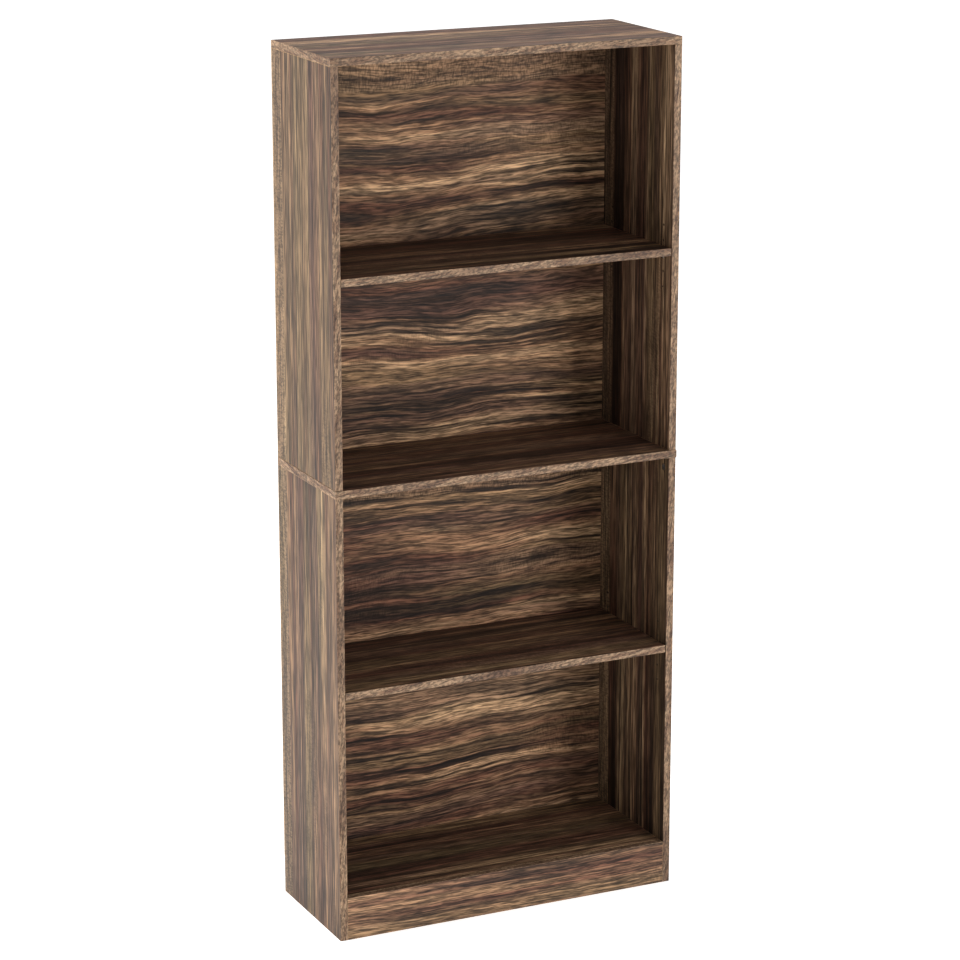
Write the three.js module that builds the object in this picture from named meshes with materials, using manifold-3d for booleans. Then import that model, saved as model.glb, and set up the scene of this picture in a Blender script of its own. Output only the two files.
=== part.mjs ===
// A tall, narrow, open-fronted bookcase made of 16 mm board.
//
// Two side panels, each in an upper and a lower length, stand on the floor. A top board lies over them,
// and a fixed middle shelf passes right between the upper and lower lengths. A bottom shelf sits behind a
// kick board. Two adjustable shelves lie loose on metal pins, which plug into rows of holes in the sides.
// Thin back panels are nailed over the rear edges. Cam locks, bolts and dowels hold the boards together.
//
// Units are millimetres. X runs from left to right, Y from front to back and Z up from the floor.
// The origin is on the floor, in the middle of the overall box.
import * as THREE from 'three';
import { mergeVertices } from 'three/addons/utils/BufferGeometryUtils.js';
import Module from 'manifold-3d';

// ---------------------------------------------------------------- driving dimensions

const HEIGHT = 1810;
const WIDTH = 764; // over the outer faces of the side panels
const DEPTH = 304; // front edges of the side panels to the rear of the back panels
const BOARD = 16; // thickness of every board
const BACK_BOARD = 3; // thickness of the back panels

const KICK_HEIGHT = 92; // top of the kick board and of the bottom shelf
const LOWER_SHELF_UNDERSIDE = 516.5;
const MIDDLE_SHELF_UNDERSIDE = 939;
const UPPER_SHELF_UNDERSIDE = 1363.5;

const MIDDLE_SHELF_NOSE = 2; // how far the middle shelf stands proud of the side panels' front edges
const MIDDLE_SHELF_END = 1; // how far each of its ends stands proud of the outer faces
const LOOSE_SHELF_GAP = 1; // clearance of an adjustable shelf at its front and at each end
const LOOSE_SHELF_REAR_GAP = 2;

const BACK_PANEL_FOOT = 80; // height at which the back starts above the floor
const BACK_PANEL_INSET = 0.5; // from the outer faces, and half the gap between the two panels
const BACK_PANEL_TOP_INSET = 1;

// Rows of holes for the shelf pins.
const PIN_HOLE_PITCH = 32;
const PIN_HOLES_EACH_WAY = 2; // holes above and below the one in use
const PIN_ROW_INSET = 37; // from the front and from the rear edge of a side panel
const PIN_HOLE_RADIUS = 2.6;
const PIN_HOLE_DEPTH = 9.5;

// A shelf pin: a round stub, and an angled bracket that carries the shelf.
const PIN_STUB_RADIUS = 2.4;
const PIN_STUB_LENGTH = 8;
const PIN_SHEET = 1.5; // thickness of its plate and of its tongue
const PIN_WIDTH = 8;
const PIN_PLATE_HEIGHT = 11;
const PIN_TONGUE_LENGTH = 10;
const PIN_GUSSET_REACH = 6;
const PIN_WALL_GAP = 0.25; // between its plate and the side panel

// A cam lock, turned in its pocket to pull the head of a bolt.
const CAM_SETBACK = 24; // from the joint to the middle of the cam
const CAM_RADIUS = 7.2;
const CAM_HEIGHT = 12;
const CAM_POCKET_RADIUS = 7.5;
const CAM_POCKET_DEPTH = 12.5;
const CAM_FACE_RECESS = 0.25; // how far the cam's face lies below the surface of the board
const CAM_MOUTH_WIDTH = 7.2; // the mouth that takes the bolt's head
const CAM_MOUTH_FLOOR = -3.6; // how far the mouth reaches past the middle
const CAM_PLATE = 4.4; // solid thickness under the driver slots
const DRIVER_SLOT = { length: 8, width: 1.6, depth: 1.8 };

// Bolts: a shank with a necked head at the cam's end.
const BOLT_SHANK_RADIUS = 3;
const BOLT_NECK_RADIUS = 1.8;
const BOLT_HEAD_HALF_LENGTH = 2.4;
const BOLT_NECK_LENGTH = 3;
const BOLT_SCREW_LENGTH = 11; // the end that is screwed into a board's face
const LONG_BOLT_SCREW_LENGTH = 25; // the end that is screwed into the foot of an upper side panel
const BOLT_BORE_RADIUS = 3.5;
const SCREW_BORE_RADIUS = 3.2;
const FACE_BORE_DEPTH = 12;
const FOOT_BORE_DEPTH = 26;

const DOWEL_RADIUS = 3.8;
const DOWEL_LENGTH = 30;
const DOWEL_CHAMFER = 0.8;
const DOWEL_IN_FACE = 11; // the length of it that sits in the face of a board
const DOWEL_BORE_RADIUS = 4.1;
const DOWEL_EDGE_BORE_DEPTH = 20;

// Where the fasteners sit along the depth of a joint.
const FITTING_FROM_FRONT = 22;
const FITTING_FROM_REAR = 32;
const BOTTOM_FITTING_FROM_KICK = 30;
const DOWEL_OFFSET = 50; // dowels sit this far before and behind the middle of the joint
const KICK_DOWEL_EDGE = 23; // from the kick board's top and bottom

const ROUND_SIDES = 10; // facets of a pin, bolt, dowel or small bore
const CAM_SIDES = 16;
const CUT_OVERRUN = 1; // how far a cutting shape starts outside the face that it cuts

// ---------------------------------------------------------------- levels and planes worked out from them

const Y_BACK = (DEPTH + MIDDLE_SHELF_NOSE) / 2;
const Y_FRONT = Y_BACK - DEPTH;
const Y_REAR = Y_BACK - BACK_BOARD; // rear edges of the boards
const X_OUTER = WIDTH / 2;
const X_INNER = X_OUTER - BOARD;
const Z_TOP_UNDERSIDE = HEIGHT - BOARD;
const Z_MIDDLE_TOP = MIDDLE_SHELF_UNDERSIDE + BOARD;
const Z_BOTTOM_UNDERSIDE = KICK_HEIGHT - BOARD;
const Y_KICK_BACK = Y_FRONT + BOARD;

const FITTING_YS = { front: Y_FRONT + FITTING_FROM_FRONT, rear: Y_REAR - FITTING_FROM_REAR };
const BOTTOM_FITTING_YS = { front: Y_KICK_BACK + BOTTOM_FITTING_FROM_KICK, rear: FITTING_YS.rear };
const PIN_YS = { front: Y_FRONT + PIN_ROW_INSET, rear: Y_REAR - PIN_ROW_INSET };
const DOWEL_YS = { front: -DOWEL_OFFSET, rear: DOWEL_OFFSET };
const TOP_DOWEL_YS = { front: FITTING_YS.front, middle: 0 };
const KICK_DOWEL_ZS = { lower: KICK_DOWEL_EDGE, upper: KICK_HEIGHT - KICK_DOWEL_EDGE };
const SIDES = { left: -1, right: 1 };

const PIN_STUB_DROP = PIN_PLATE_HEIGHT / 2; // the stub's axis lies this far below the shelf
const LOOSE_SHELVES = { upper: UPPER_SHELF_UNDERSIDE, lower: LOWER_SHELF_UNDERSIDE };

// ---------------------------------------------------------------- materials

const FINISHES = {
	walnut_face: { color: 0x7d6753, roughness: 0.55, metalness: 0 },
	walnut_back: { color: 0x6b5443, roughness: 0.6, metalness: 0 },
	pin_steel: { color: 0xb9b7b2, roughness: 0.35, metalness: 1 },
	cam_zinc: { color: 0x8f8d88, roughness: 0.45, metalness: 1 },
	bolt_steel: { color: 0xa9a7a1, roughness: 0.4, metalness: 1 },
	dowel_wood: { color: 0xcdb48c, roughness: 0.8, metalness: 0 },
};

// ---------------------------------------------------------------- solids

const wasm = await Module();
wasm.setup();

/** Turns a closed geometry into a solid that can be joined and cut. */
function solid( geometry ) {

	const bare = geometry.clone();
	bare.deleteAttribute( 'normal' );
	bare.deleteAttribute( 'uv' );
	const merged = mergeVertices( bare );
	return new wasm.Manifold( new wasm.Mesh( {
		numProp: 3,
		vertProperties: new Float32Array( merged.attributes.position.array ),
		triVerts: new Uint32Array( merged.index.array ),
	} ) );

}

/** Turns a solid back into a geometry. */
function geometryOf( body ) {

	const { vertProperties, triVerts } = body.getMesh();
	const geometry = new THREE.BufferGeometry();
	geometry.setAttribute( 'position', new THREE.BufferAttribute( vertProperties, 3 ) );
	geometry.setIndex( new THREE.BufferAttribute( triVerts, 1 ) );
	geometry.computeVertexNormals();
	return geometry;

}

/** The geometry of a box between two corners. */
function boxBetween( low, high ) {

	const [ x, y, z ] = high.map( ( value, i ) => value - low[ i ] );
	const [ cx, cy, cz ] = high.map( ( value, i ) => ( value + low[ i ] ) / 2 );
	return new THREE.BoxGeometry( x, y, z ).translate( cx, cy, cz );

}

/** A round cutting shape that runs `depth` deep from `mouth`, along the unit vector `into`. */
function bore( mouth, into, radius, depth, sides = ROUND_SIDES ) {

	const direction = new THREE.Vector3( ...into );
	const turn = new THREE.Quaternion().setFromUnitVectors( new THREE.Vector3( 0, 1, 0 ), direction );
	const middle = direction.clone().multiplyScalar( ( depth - CUT_OVERRUN ) / 2 );
	return new THREE.CylinderGeometry( radius, radius, depth + CUT_OVERRUN, sides )
		.applyQuaternion( turn )
		.translate( mouth[ 0 ] + middle.x, mouth[ 1 ] + middle.y, mouth[ 2 ] + middle.z );

}

/** A named mesh with a material of its own. */
function piece( name, finish, geometry ) {

	const mesh = new THREE.Mesh( geometry, new THREE.MeshStandardMaterial( FINISHES[ finish ] ) );
	mesh.name = name;
	return mesh;

}

/** A board between two corners with round holes cut in it, placed by its middle. */
function board( name, finish, low, high, bores = [] ) {

	const middle = low.map( ( value, i ) => ( value + high[ i ] ) / 2 );
	const away = middle.map( ( value ) => - value );
	let body = solid( boxBetween( low, high ).translate( ...away ) );
	for ( const hole of bores ) body = body.subtract( solid( hole.translate( ...away ) ) );
	const mesh = piece( name, finish, geometryOf( body ) );
	mesh.position.set( ...middle );
	return mesh;

}

// ---------------------------------------------------------------- holes in the boards

/** The heights of the pin holes that serve an adjustable shelf. */
function pinHoleHeights( underside ) {

	const heights = [];
	for ( let step = - PIN_HOLES_EACH_WAY; step <= PIN_HOLES_EACH_WAY; step ++ ) {

		heights.push( underside - PIN_STUB_DROP + step * PIN_HOLE_PITCH );

	}

	return heights;

}

/** The front and rear rows of pin holes in a side panel's inner face. */
function pinHoles( sign, underside ) {

	return Object.values( PIN_YS ).flatMap( ( y ) => pinHoleHeights( underside ).map( ( z ) =>
		bore( [ sign * X_INNER, y, z ], [ sign, 0, 0 ], PIN_HOLE_RADIUS, PIN_HOLE_DEPTH ) ) );

}

/** The cam pockets and bolt bores in the top end of a side panel, whose joint plane is at `jointZ`. */
function topEndFittingBores( sign, jointZ, ys ) {

	const middleX = sign * ( X_INNER + BOARD / 2 );
	return ys.flatMap( ( y ) => [
		bore( [ sign * X_INNER, y, jointZ - CAM_SETBACK ], [ sign, 0, 0 ],
			CAM_POCKET_RADIUS, CAM_POCKET_DEPTH, CAM_SIDES ),
		bore( [ middleX, y, jointZ ], [ 0, 0, - 1 ], BOLT_BORE_RADIUS, CAM_SETBACK ),
	] );

}

/** The bores in the foot of an upper side panel that the long bolts are screwed into. */
function footScrewBores( sign ) {

	const middleX = sign * ( X_INNER + BOARD / 2 );
	return Object.values( FITTING_YS ).map( ( y ) =>
		bore( [ middleX, y, Z_MIDDLE_TOP ], [ 0, 0, 1 ], SCREW_BORE_RADIUS, FOOT_BORE_DEPTH ) );

}

/** The bores for dowels in the top edge of an upper side panel. */
function topEdgeDowelBores( sign ) {

	const middleX = sign * ( X_INNER + BOARD / 2 );
	return Object.values( TOP_DOWEL_YS ).map( ( y ) =>
		bore( [ middleX, y, Z_TOP_UNDERSIDE ], [ 0, 0, - 1 ], DOWEL_BORE_RADIUS, DOWEL_EDGE_BORE_DEPTH ) );

}

/** The bores in a lower side panel's inner face that hold the bottom shelf and the kick board. */
function bottomFaceBores( sign ) {

	const face = ( y, z, radius ) => bore( [ sign * X_INNER, y, z ], [ sign, 0, 0 ], radius, FACE_BORE_DEPTH );
	const shelfZ = KICK_HEIGHT - BOARD / 2;
	return [
		...Object.values( BOTTOM_FITTING_YS ).map( ( y ) => face( y, shelfZ, SCREW_BORE_RADIUS ) ),
		...Object.values( DOWEL_YS ).map( ( y ) => face( y, shelfZ, DOWEL_BORE_RADIUS ) ),
		...Object.values( KICK_DOWEL_ZS ).map( ( z ) => face( Y_FRONT + BOARD / 2, z, DOWEL_BORE_RADIUS ) ),
	];

}

// ---------------------------------------------------------------- boards

function sidePanels() {

	return Object.entries( SIDES ).flatMap( ( [ side, sign ] ) => {

		const [ xLow, xHigh ] = [ sign * X_INNER, sign * X_OUTER ].sort( ( a, b ) => a - b );
		return [
			board( `${side}_upper_side`, 'walnut_face',
				[ xLow, Y_FRONT, Z_MIDDLE_TOP ], [ xHigh, Y_REAR, Z_TOP_UNDERSIDE ], [
					...pinHoles( sign, UPPER_SHELF_UNDERSIDE ),
					...topEndFittingBores( sign, Z_TOP_UNDERSIDE, [ FITTING_YS.rear ] ),
					...footScrewBores( sign ),
					...topEdgeDowelBores( sign ),
				] ),
			board( `${side}_lower_side`, 'walnut_face',
				[ xLow, Y_FRONT, 0 ], [ xHigh, Y_REAR, MIDDLE_SHELF_UNDERSIDE ], [
					...pinHoles( sign, LOWER_SHELF_UNDERSIDE ),
					...topEndFittingBores( sign, MIDDLE_SHELF_UNDERSIDE, Object.values( FITTING_YS ) ),
					...bottomFaceBores( sign ),
				] ),
		];

	} );

}

function topPanel() {

	const bores = Object.values( SIDES ).flatMap( ( sign ) => {

		const x = sign * ( X_INNER + BOARD / 2 );
		const face = ( y, radius ) => bore( [ x, y, Z_TOP_UNDERSIDE ], [ 0, 0, 1 ], radius, FACE_BORE_DEPTH );
		return [
			face( FITTING_YS.rear, SCREW_BORE_RADIUS ),
			...Object.values( TOP_DOWEL_YS ).map( ( y ) => face( y, DOWEL_BORE_RADIUS ) ),
		];

	} );
	return board( 'top_panel', 'walnut_face',
		[ - X_OUTER, Y_FRONT, Z_TOP_UNDERSIDE ], [ X_OUTER, Y_REAR, HEIGHT ], bores );

}

function middleShelf() {

	const end = X_OUTER + MIDDLE_SHELF_END;
	const bores = Object.values( SIDES ).flatMap( ( sign ) => Object.values( FITTING_YS ).map( ( y ) =>
		bore( [ sign * ( X_INNER + BOARD / 2 ), y, MIDDLE_SHELF_UNDERSIDE ], [ 0, 0, 1 ],
			BOLT_BORE_RADIUS, BOARD + CUT_OVERRUN ) ) );
	return board( 'middle_shelf', 'walnut_face',
		[ - end, Y_FRONT - MIDDLE_SHELF_NOSE, MIDDLE_SHELF_UNDERSIDE ], [ end, Y_REAR, Z_MIDDLE_TOP ], bores );

}

function bottomShelf() {

	const middleZ = KICK_HEIGHT - BOARD / 2;
	const bores = Object.values( SIDES ).flatMap( ( sign ) => [
		...Object.values( BOTTOM_FITTING_YS ).flatMap( ( y ) => [
			bore( [ sign * ( X_INNER - CAM_SETBACK ), y, Z_BOTTOM_UNDERSIDE ], [ 0, 0, 1 ],
				CAM_POCKET_RADIUS, CAM_POCKET_DEPTH, CAM_SIDES ),
			bore( [ sign * X_INNER, y, middleZ ], [ - sign, 0, 0 ], BOLT_BORE_RADIUS, CAM_SETBACK ),
		] ),
		...Object.values( DOWEL_YS ).map( ( y ) =>
			bore( [ sign * X_INNER, y, middleZ ], [ - sign, 0, 0 ], DOWEL_BORE_RADIUS, DOWEL_EDGE_BORE_DEPTH ) ),
	] );
	return board( 'bottom_shelf', 'walnut_face',
		[ - X_INNER, Y_KICK_BACK, Z_BOTTOM_UNDERSIDE ], [ X_INNER, Y_REAR, KICK_HEIGHT ], bores );

}

function kickBoard() {

	const bores = Object.values( SIDES ).flatMap( ( sign ) => Object.values( KICK_DOWEL_ZS ).map( ( z ) =>
		bore( [ sign * X_INNER, Y_FRONT + BOARD / 2, z ], [ - sign, 0, 0 ],
			DOWEL_BORE_RADIUS, DOWEL_EDGE_BORE_DEPTH ) ) );
	return board( 'kick_board', 'walnut_face',
		[ - X_INNER, Y_FRONT, 0 ], [ X_INNER, Y_KICK_BACK, KICK_HEIGHT ], bores );

}

function looseShelves() {

	const end = X_INNER - LOOSE_SHELF_GAP;
	return Object.entries( LOOSE_SHELVES ).map( ( [ level, underside ] ) =>
		board( `${level}_adjustable_shelf`, 'walnut_face',
			[ - end, Y_FRONT + LOOSE_SHELF_GAP, underside ],
			[ end, Y_REAR - LOOSE_SHELF_REAR_GAP, underside + BOARD ] ) );

}

function backPanels() {

	const edge = X_OUTER - BACK_PANEL_INSET;
	const seam = MIDDLE_SHELF_UNDERSIDE + BOARD / 2;
	const spans = {
		upper: [ seam + BACK_PANEL_INSET, HEIGHT - BACK_PANEL_TOP_INSET ],
		lower: [ BACK_PANEL_FOOT, seam - BACK_PANEL_INSET ],
	};
	return Object.entries( spans ).map( ( [ level, [ bottom, top ] ] ) =>
		board( `${level}_back_panel`, 'walnut_back', [ - edge, Y_REAR, bottom ], [ edge, Y_BACK, top ] ) );

}

// ---------------------------------------------------------------- shelf pins

/** A shelf pin's geometry. Its stub points along -X, and its tongue's top is at z = 0. */
function pinGeometry() {

	const halfWidth = PIN_WIDTH / 2;
	const plate = boxBetween( [ 0, - halfWidth, - PIN_PLATE_HEIGHT ], [ PIN_SHEET, halfWidth, 0 ] );
	const tongue = boxBetween( [ 0, - halfWidth, - PIN_SHEET ], [ PIN_TONGUE_LENGTH, halfWidth, 0 ] );
	const stub = new THREE.CylinderGeometry( PIN_STUB_RADIUS, PIN_STUB_RADIUS, PIN_STUB_LENGTH + PIN_SHEET, ROUND_SIDES )
		.rotateZ( Math.PI / 2 )
		.translate( ( PIN_SHEET - PIN_STUB_LENGTH ) / 2, 0, - PIN_STUB_DROP );
	const rib = new THREE.Shape();
	rib.moveTo( 0, 0 );
	rib.lineTo( PIN_GUSSET_REACH, 0 );
	rib.lineTo( 0, - PIN_GUSSET_REACH );
	rib.closePath();
	const gusset = new THREE.ExtrudeGeometry( rib, { depth: PIN_SHEET, bevelEnabled: false } )
		.rotateX( Math.PI / 2 )
		.translate( PIN_SHEET / 2, PIN_SHEET / 2, - PIN_SHEET / 2 );
	return geometryOf( solid( plate ).add( solid( tongue ) ).add( solid( stub ) ).add( solid( gusset ) ) );

}

function shelfPins() {

	const geometry = pinGeometry();
	const meshes = [];
	for ( const [ level, underside ] of Object.entries( LOOSE_SHELVES ) ) {

		for ( const [ side, sign ] of Object.entries( SIDES ) ) {

			for ( const [ place, y ] of Object.entries( PIN_YS ) ) {

				const mesh = piece( `${level}_${side}_${place}_pin`, 'pin_steel', geometry );
				mesh.position.set( sign * ( X_INNER - PIN_WALL_GAP ), y, underside );
				mesh.rotation.z = sign > 0 ? Math.PI : 0;
				meshes.push( mesh );

			}

		}

	}

	return meshes;

}

// ---------------------------------------------------------------- cam locks

/** A cam lock's geometry. Its face looks along +Z at z = 0, and its mouth opens along +X. */
function camGeometry() {

	const drum = new THREE.CylinderGeometry( CAM_RADIUS, CAM_RADIUS, CAM_HEIGHT, CAM_SIDES )
		.rotateX( Math.PI / 2 )
		.translate( 0, 0, - CAM_HEIGHT / 2 );
	const mouth = boxBetween(
		[ CAM_MOUTH_FLOOR, - CAM_MOUTH_WIDTH / 2, - CAM_HEIGHT - CUT_OVERRUN ],
		[ CAM_RADIUS + CUT_OVERRUN, CAM_MOUTH_WIDTH / 2, - CAM_PLATE ] );
	const { length, width, depth } = DRIVER_SLOT;
	const slotAlong = boxBetween( [ - length / 2, - width / 2, - depth ], [ length / 2, width / 2, CUT_OVERRUN ] );
	const slotAcross = boxBetween( [ - width / 2, - length / 2, - depth ], [ width / 2, length / 2, CUT_OVERRUN ] );
	return geometryOf( [ mouth, slotAlong, slotAcross ].reduce(
		( body, cutter ) => body.subtract( solid( cutter ) ), solid( drum ) ) );

}

/** A cam lock whose face looks along `face` and whose mouth opens along `mouth`. */
function camLock( name, geometry, position, face, mouth ) {

	const z = new THREE.Vector3( ...face );
	const x = new THREE.Vector3( ...mouth );
	const y = new THREE.Vector3().crossVectors( z, x );
	const mesh = piece( name, 'cam_zinc', geometry );
	mesh.position.set( ...position );
	mesh.quaternion.setFromRotationMatrix( new THREE.Matrix4().makeBasis( x, y, z ) );
	return mesh;

}

function camLocks() {

	const geometry = camGeometry();
	const meshes = [];
	for ( const [ side, sign ] of Object.entries( SIDES ) ) {

		const inSide = ( name, place, jointZ ) => camLock( `${name}_${side}_${place}`, geometry,
			[ sign * ( X_INNER + CAM_FACE_RECESS ), FITTING_YS[ place ], jointZ - CAM_SETBACK ],
			[ - sign, 0, 0 ], [ 0, 0, 1 ] );
		meshes.push( inSide( 'cam_top', 'rear', Z_TOP_UNDERSIDE ) );

		for ( const place of [ 'front', 'rear' ] ) {

			meshes.push(
				inSide( 'cam_middle', place, MIDDLE_SHELF_UNDERSIDE ),
				camLock( `cam_bottom_${side}_${place}`, geometry,
					[ sign * ( X_INNER - CAM_SETBACK ), BOTTOM_FITTING_YS[ place ],
						Z_BOTTOM_UNDERSIDE + CAM_FACE_RECESS ],
					[ 0, 0, - 1 ], [ sign, 0, 0 ] ),
			);

		}

	}

	return meshes;

}

// ---------------------------------------------------------------- bolts and dowels

/**
 * A bolt whose shank crosses the joint plane at y = 0, with its head in the cam along +Y. Behind the plane
 * it runs `through` millimetres of board freely, and then a length of `screw` into the next one.
 */
function boltGeometry( screw, through = 0 ) {

	const tip = - through - screw;
	const headMiddle = CAM_SETBACK;
	const headBase = headMiddle - BOLT_HEAD_HALF_LENGTH;
	return new THREE.LatheGeometry( [
		new THREE.Vector2( 0, tip ),
		new THREE.Vector2( BOLT_NECK_RADIUS, tip ),
		new THREE.Vector2( BOLT_SHANK_RADIUS, tip + BOLT_NECK_RADIUS ),
		new THREE.Vector2( BOLT_SHANK_RADIUS, headBase - BOLT_NECK_LENGTH ),
		new THREE.Vector2( BOLT_NECK_RADIUS, headBase - BOLT_NECK_LENGTH ),
		new THREE.Vector2( BOLT_NECK_RADIUS, headBase ),
		new THREE.Vector2( BOLT_SHANK_RADIUS, headBase ),
		new THREE.Vector2( BOLT_SHANK_RADIUS, headMiddle ),
		new THREE.Vector2( BOLT_NECK_RADIUS, headMiddle + BOLT_HEAD_HALF_LENGTH ),
		new THREE.Vector2( 0, headMiddle + BOLT_HEAD_HALF_LENGTH ),
	], ROUND_SIDES );

}

/** A dowel centred on the origin, along Y. */
function dowelGeometry() {

	const half = DOWEL_LENGTH / 2;
	return new THREE.LatheGeometry( [
		new THREE.Vector2( 0, - half ),
		new THREE.Vector2( DOWEL_RADIUS - DOWEL_CHAMFER, - half ),
		new THREE.Vector2( DOWEL_RADIUS, DOWEL_CHAMFER - half ),
		new THREE.Vector2( DOWEL_RADIUS, half - DOWEL_CHAMFER ),
		new THREE.Vector2( DOWEL_RADIUS - DOWEL_CHAMFER, half ),
		new THREE.Vector2( 0, half ),
	], ROUND_SIDES );

}

/** A turned piece whose +Y end is pointed along `direction`. */
function turned( name, finish, geometry, position, direction ) {

	const mesh = piece( name, finish, geometry );
	mesh.position.set( ...position );
	mesh.quaternion.setFromUnitVectors( new THREE.Vector3( 0, 1, 0 ), new THREE.Vector3( ...direction ) );
	return mesh;

}

function bolts() {

	const shortBolt = boltGeometry( BOLT_SCREW_LENGTH );
	const longBolt = boltGeometry( LONG_BOLT_SCREW_LENGTH, BOARD );
	const meshes = [];
	for ( const [ side, sign ] of Object.entries( SIDES ) ) {

		const x = sign * ( X_INNER + BOARD / 2 );
		meshes.push( turned( `bolt_top_${side}_rear`, 'bolt_steel', shortBolt,
			[ x, FITTING_YS.rear, Z_TOP_UNDERSIDE ], [ 0, 0, - 1 ] ) );

		for ( const place of [ 'front', 'rear' ] ) {

			meshes.push(
				turned( `bolt_middle_${side}_${place}`, 'bolt_steel', longBolt,
					[ x, FITTING_YS[ place ], MIDDLE_SHELF_UNDERSIDE ], [ 0, 0, - 1 ] ),
				turned( `bolt_bottom_${side}_${place}`, 'bolt_steel', shortBolt,
					[ sign * X_INNER, BOTTOM_FITTING_YS[ place ], KICK_HEIGHT - BOARD / 2 ], [ - sign, 0, 0 ] ),
			);

		}

	}

	return meshes;

}

function dowels() {

	const geometry = dowelGeometry();
	const shift = DOWEL_LENGTH / 2 - DOWEL_IN_FACE; // from the joint plane to the dowel's middle
	const meshes = [];
	for ( const [ side, sign ] of Object.entries( SIDES ) ) {

		for ( const [ place, y ] of Object.entries( TOP_DOWEL_YS ) ) {

			meshes.push( turned( `dowel_top_${side}_${place}`, 'dowel_wood', geometry,
				[ sign * ( X_INNER + BOARD / 2 ), y, Z_TOP_UNDERSIDE - shift ], [ 0, 0, 1 ] ) );

		}

		for ( const [ place, y ] of Object.entries( DOWEL_YS ) ) {

			meshes.push( turned( `dowel_bottom_${side}_${place}`, 'dowel_wood', geometry,
				[ sign * ( X_INNER - shift ), y, KICK_HEIGHT - BOARD / 2 ], [ 1, 0, 0 ] ) );

		}

		for ( const [ place, z ] of Object.entries( KICK_DOWEL_ZS ) ) {

			meshes.push( turned( `dowel_kick_${side}_${place}`, 'dowel_wood', geometry,
				[ sign * ( X_INNER - shift ), Y_FRONT + BOARD / 2, z ], [ 1, 0, 0 ] ) );

		}

	}

	return meshes;

}

// ---------------------------------------------------------------- the bookcase

const carcass = new THREE.Group();
carcass.add( topPanel(), ...sidePanels(), middleShelf(), bottomShelf(), kickBoard(), ...backPanels() );

const shelving = new THREE.Group();
shelving.add( ...looseShelves(), ...shelfPins() );

const fasteners = new THREE.Group();
fasteners.add( ...camLocks(), ...bolts(), ...dowels() );

const group = new THREE.Group();
group.add( carcass, shelving, fasteners );

export default group;
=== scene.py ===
"""A tall open bookcase in walnut-effect board, with two adjustable shelves on metal pins.

Every board is built from the place and size of its CAD node, with rounded edges, edge bands, round bores
and its own stretch of wood grain. The shelf pins and cam locks are remade in detail, and the back panels
get their nails. The bolts and dowels inside the joints keep their CAD shapes, with finished materials.

Units are metres. X runs from left to right, Y from front to back and Z up from the floor.
"""
import math

import bmesh
import bpy
from mathutils import Matrix, Vector


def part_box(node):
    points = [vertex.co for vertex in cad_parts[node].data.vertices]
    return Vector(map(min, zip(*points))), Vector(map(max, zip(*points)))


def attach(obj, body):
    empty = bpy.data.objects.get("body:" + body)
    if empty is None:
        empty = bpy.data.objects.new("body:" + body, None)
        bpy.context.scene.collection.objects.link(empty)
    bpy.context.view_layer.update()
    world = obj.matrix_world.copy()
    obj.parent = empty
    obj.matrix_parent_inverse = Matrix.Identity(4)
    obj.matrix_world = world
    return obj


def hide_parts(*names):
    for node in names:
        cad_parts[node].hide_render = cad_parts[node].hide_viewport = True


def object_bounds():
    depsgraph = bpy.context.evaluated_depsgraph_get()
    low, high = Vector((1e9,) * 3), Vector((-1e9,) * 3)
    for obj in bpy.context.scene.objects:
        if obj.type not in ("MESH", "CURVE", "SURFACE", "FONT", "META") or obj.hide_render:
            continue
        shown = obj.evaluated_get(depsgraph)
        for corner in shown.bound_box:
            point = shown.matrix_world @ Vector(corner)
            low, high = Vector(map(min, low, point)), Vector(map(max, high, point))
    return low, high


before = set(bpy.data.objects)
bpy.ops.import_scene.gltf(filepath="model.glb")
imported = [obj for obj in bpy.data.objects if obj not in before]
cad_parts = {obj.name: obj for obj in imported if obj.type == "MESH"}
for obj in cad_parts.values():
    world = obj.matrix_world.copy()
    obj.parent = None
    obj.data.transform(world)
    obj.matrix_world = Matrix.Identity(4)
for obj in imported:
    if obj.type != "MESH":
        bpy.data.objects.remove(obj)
cad_low, cad_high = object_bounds()

MM = 0.001
X, Y, Z = 0, 1, 2
AXES = (Vector((1, 0, 0)), Vector((0, 1, 0)), Vector((0, 0, 1)))
CARCASS = "carcass"  # the body that everything fixed rides on

# ---------------------------------------------------------------- driving dimensions

EDGE_ROUNDING = 0.7 * MM  # of every board
EDGE_SEGMENTS = 3
ROUND_SEGMENTS = 32  # of a rod or a bore, unless it has its own number

PIN_HOLE_RADIUS = 2.6 * MM
PIN_HOLE_PITCH = 32 * MM
PIN_HOLES_EACH_WAY = 2  # above and below the hole that the pin is in
PIN_HOLE_SPARE_DEPTH = 1.75 * MM
PIN_STUB_RADIUS = 2.4 * MM
PIN_STUB_LENGTH = 7.75 * MM
PIN_SHEET = 1.5 * MM  # thickness of the metal
PIN_GUSSET_REACH = 6 * MM
PIN_ROUNDING = 0.25 * MM
FITTING_ROUNDING_SEGMENTS = 2
FITTING_EDGE_ANGLE = math.radians(35)  # sharper edges than this are rounded on a pin or a cam lock

CAM_POCKET_CLEARANCE = 0.3 * MM
CAM_POCKET_SPARE_DEPTH = 0.25 * MM
CAM_CROSS_LENGTH = 8 * MM
CAM_CROSS_WIDTH = 1.6 * MM
CAM_CROSS_DEPTH = 1.8 * MM
CAM_ROUNDING = 0.3 * MM
CAM_SEGMENTS = 48
BOLT_BORE_RADIUS = 3.5 * MM
DOWEL_BORE_RADIUS = 4.1 * MM
BORE_OVERRUN = 1 * MM  # how far a bore runs past what is in it, or past the face it opens through

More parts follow.
